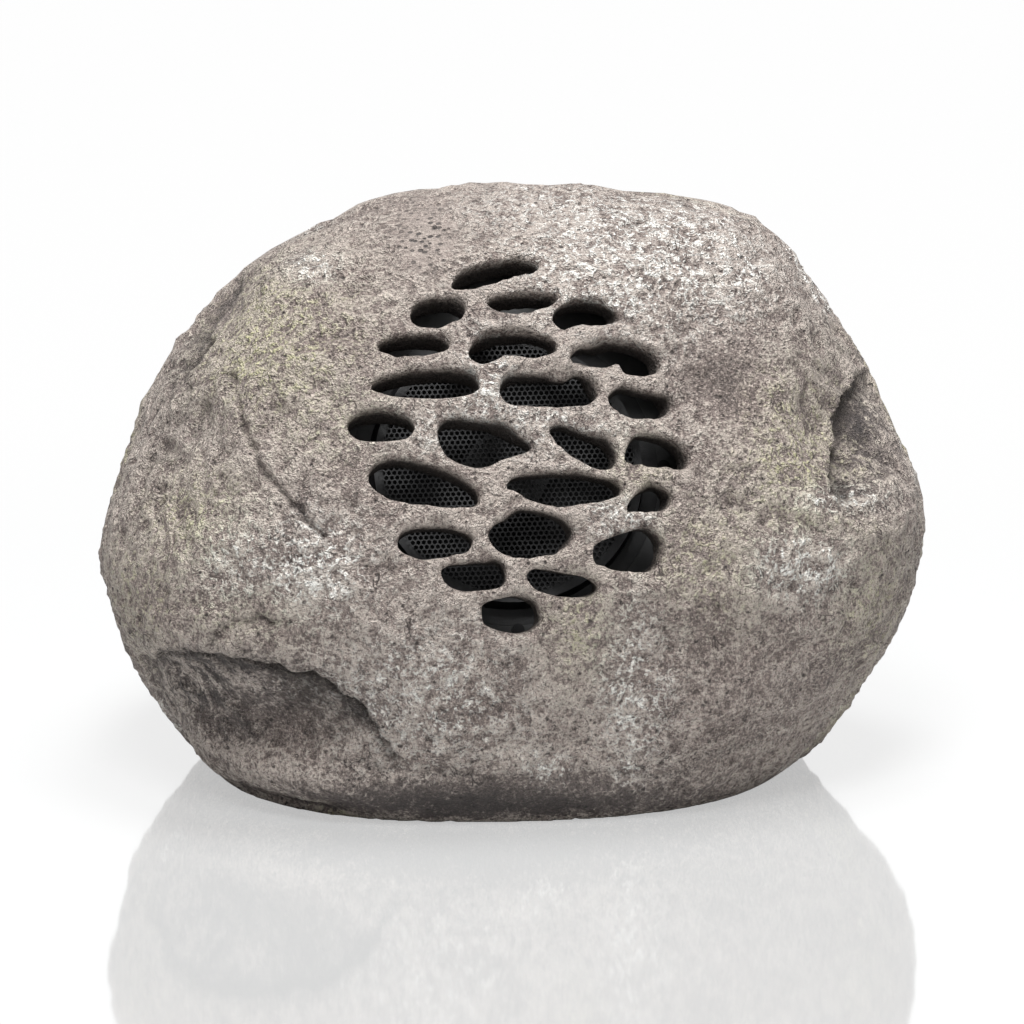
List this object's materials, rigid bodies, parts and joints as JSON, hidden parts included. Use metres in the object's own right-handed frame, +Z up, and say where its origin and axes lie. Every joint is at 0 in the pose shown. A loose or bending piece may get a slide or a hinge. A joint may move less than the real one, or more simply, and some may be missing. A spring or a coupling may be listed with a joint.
{
  "type": "rock shaped garden speaker",
  "caption": "Garden loudspeaker in a hollow boulder shaped housing, with sound slots in its sloping face, a coaxial driver behind them and a cable gland low in the back.",
  "frame": {"origin": "on the ground, under the middle of the speaker's box", "axes": "+Z up, -Y towards the listener in front of the slots, +X to the right as seen from the front"},
  "size_m": [0.4007, 0.3028, 0.279],
  "materials": {
    "rock": "stone effect paint on cast resin",
    "base": "satin",
    "rubber": "matte",
    "gland": "satin",
    "baffle": "satin",
    "guard": "matte black powder coat",
    "fasteners": "plated",
    "basket": "matte",
    "cone": "matte",
    "coil": "satin",
    "spider": "woven",
    "steel": "zinc plated",
    "magnet": "matte",
    "tweeter": "satin",
    "dome": "coated",
    "board": "satin",
    "tags": "tinned",
    "leads": "satin",
    "copper": "enamelled",
    "capacitor": "satin",
    "resistor": "matte",
    "terminal": "satin"
  },
  "bodies": {
    "enclosure": {"rock_shell": "rock", "base_plate": "base", "base_seal": "rubber", "gland_washer": "rubber", "gland_seal": "rubber", "driver_gasket": "rubber", "woofer_surround": "rubber", "gland_body": "gland", "gland_nut": "gland", "gland_cap": "gland", "baffle_ring": "baffle", "driver_guard": "guard", "base_screws": "fasteners", "baffle_screws": "fasteners", "guard_screws": "fasteners", "driver_screws": "fasteners", "board_screws": "fasteners", "driver_basket": "basket", "spider": "spider", "top_plate": "steel", "back_plate": "steel", "ring_magnet": "magnet", "tweeter_stem": "tweeter", "tweeter_housing": "tweeter", "tweeter_dome": "dome", "tag_strip": "board", "crossover_board": "board", "solder_tags": "tags", "driver_leads": "leads", "crossover_inductor": "copper", "crossover_capacitor": "capacitor", "crossover_resistor": "resistor", "terminal_block": "terminal"},
    "cone_assembly": {"woofer_cone": "cone", "voice_coil": "coil"}
  },
  "joints": [
    {"name": "cone_travel", "type": "slide", "parent": "enclosure", "child": "cone_assembly", "axis": [0.1574, -0.8925, 0.4226], "range_m": [-0.004, 0.004], "stiffness_N_per_m": 1000, "deforming": ["woofer_surround", "spider"]}
  ]
}
